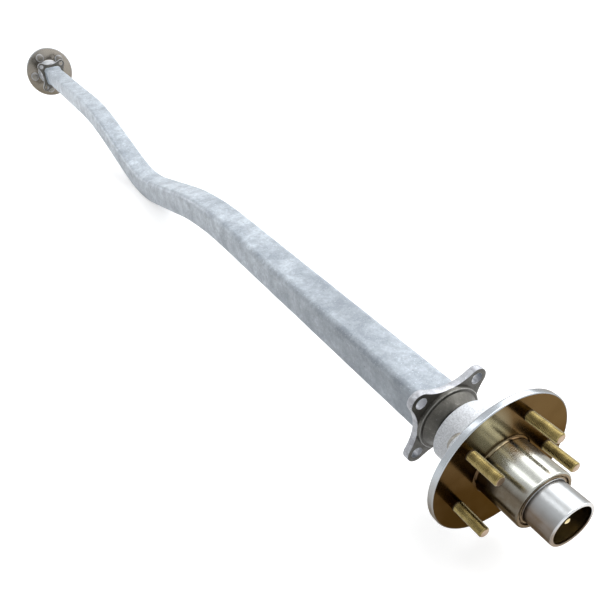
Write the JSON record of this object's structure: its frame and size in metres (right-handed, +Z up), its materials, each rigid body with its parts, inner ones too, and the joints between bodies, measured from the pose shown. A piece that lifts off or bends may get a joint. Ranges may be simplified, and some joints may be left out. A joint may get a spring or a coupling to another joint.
{
  "type": "trailer axle",
  "caption": "Cranked square-tube trailer axle with brake mounting flanges and free-turning studded wheel hubs at both ends.",
  "frame": {"origin": "middle of the axle on the wheels' spin axis", "axes": "+Y along the spin axis to the left hub, +Z up away from the drop, +X completes the right-handed frame"},
  "size_m": [0.164, 2.3426, 0.182],
  "materials": {
    "galvanised_tube": "mottled hot-dip zinc",
    "galvanised_plate": "dull zinc over a cut plate",
    "weld_metal": "rippled weld bead",
    "turned_steel": "fine turned",
    "machined_hub": "turned and polished disc and barrel, cast rear boss",
    "yellow_plated_stud": "yellow passivated zinc",
    "bearing_steel": "ground",
    "cage_steel": "pressed strip",
    "seal_rubber": "moulded rubber in a pressed case",
    "plated_fastener": "zinc plated",
    "brass_nipple": "plated",
    "cap_steel": "bright drawn steel"
  },
  "bodies": {
    "axle": {"axle_beam": "galvanised_tube", "left_brake_flange": "galvanised_plate", "left_flange_weld": "weld_metal", "left_spindle": "turned_steel", "left_inner_bearing_cone": "bearing_steel", "left_outer_bearing_cone": "bearing_steel", "left_spindle_washer": "plated_fastener", "left_castle_nut": "plated_fastener", "left_split_pin": "plated_fastener", "left_grease_nipple": "brass_nipple", "right_brake_flange": "galvanised_plate", "right_flange_weld": "weld_metal", "right_spindle": "turned_steel", "right_inner_bearing_cone": "bearing_steel", "right_outer_bearing_cone": "bearing_steel", "right_spindle_washer": "plated_fastener", "right_castle_nut": "plated_fastener", "right_split_pin": "plated_fastener", "right_grease_nipple": "brass_nipple"},
    "left_wheel_hub": {"left_hub": "machined_hub", "left_wheel_studs": "yellow_plated_stud", "left_inner_bearing_cup": "bearing_steel", "left_outer_bearing_cup": "bearing_steel", "left_grease_seal": "seal_rubber", "left_grease_cap": "cap_steel"},
    "left_inner_roller_set": {"left_inner_bearing_rollers": "bearing_steel", "left_inner_bearing_cage": "cage_steel"},
    "left_outer_roller_set": {"left_outer_bearing_rollers": "bearing_steel", "left_outer_bearing_cage": "cage_steel"},
    "right_wheel_hub": {"right_hub": "machined_hub", "right_wheel_studs": "yellow_plated_stud", "right_inner_bearing_cup": "bearing_steel", "right_outer_bearing_cup": "bearing_steel", "right_grease_seal": "seal_rubber", "right_grease_cap": "cap_steel"},
    "right_inner_roller_set": {"right_inner_bearing_rollers": "bearing_steel", "right_inner_bearing_cage": "cage_steel"},
    "right_outer_roller_set": {"right_outer_bearing_rollers": "bearing_steel", "right_outer_bearing_cage": "cage_steel"}
  },
  "joints": [
    {"name": "left_hub_spin", "type": "hinge", "parent": "axle", "child": "left_wheel_hub", "pos_m": [0, 0, 0], "axis": [0, 1, 0], "continuous": true},
    {"name": "left_inner_roller_orbit", "type": "hinge", "parent": "axle", "child": "left_inner_roller_set", "pos_m": [0, 0, 0], "axis": [0, 1, 0], "continuous": true},
    {"name": "left_outer_roller_orbit", "type": "hinge", "parent": "axle", "child": "left_outer_roller_set", "pos_m": [0, 0, 0], "axis": [0, 1, 0], "continuous": true},
    {"name": "right_hub_spin", "type": "hinge", "parent": "axle", "child": "right_wheel_hub", "pos_m": [0, 0, 0], "axis": [0, 1, 0], "continuous": true},
    {"name": "right_inner_roller_orbit", "type": "hinge", "parent": "axle", "child": "right_inner_roller_set", "pos_m": [0, 0, 0], "axis": [0, 1, 0], "continuous": true},
    {"name": "right_outer_roller_orbit", "type": "hinge", "parent": "axle", "child": "right_outer_roller_set", "pos_m": [0, 0, 0], "axis": [0, 1, 0], "continuous": true}
  ],
  "couplings": [
    {"joint": "left_inner_roller_orbit", "follows": "left_hub_spin", "ratio": 0.5637},
    {"joint": "left_outer_roller_orbit", "follows": "left_hub_spin", "ratio": 0.578},
    {"joint": "right_inner_roller_orbit", "follows": "right_hub_spin", "ratio": 0.5637},
    {"joint": "right_outer_roller_orbit", "follows": "right_hub_spin", "ratio": 0.578}
  ]
}
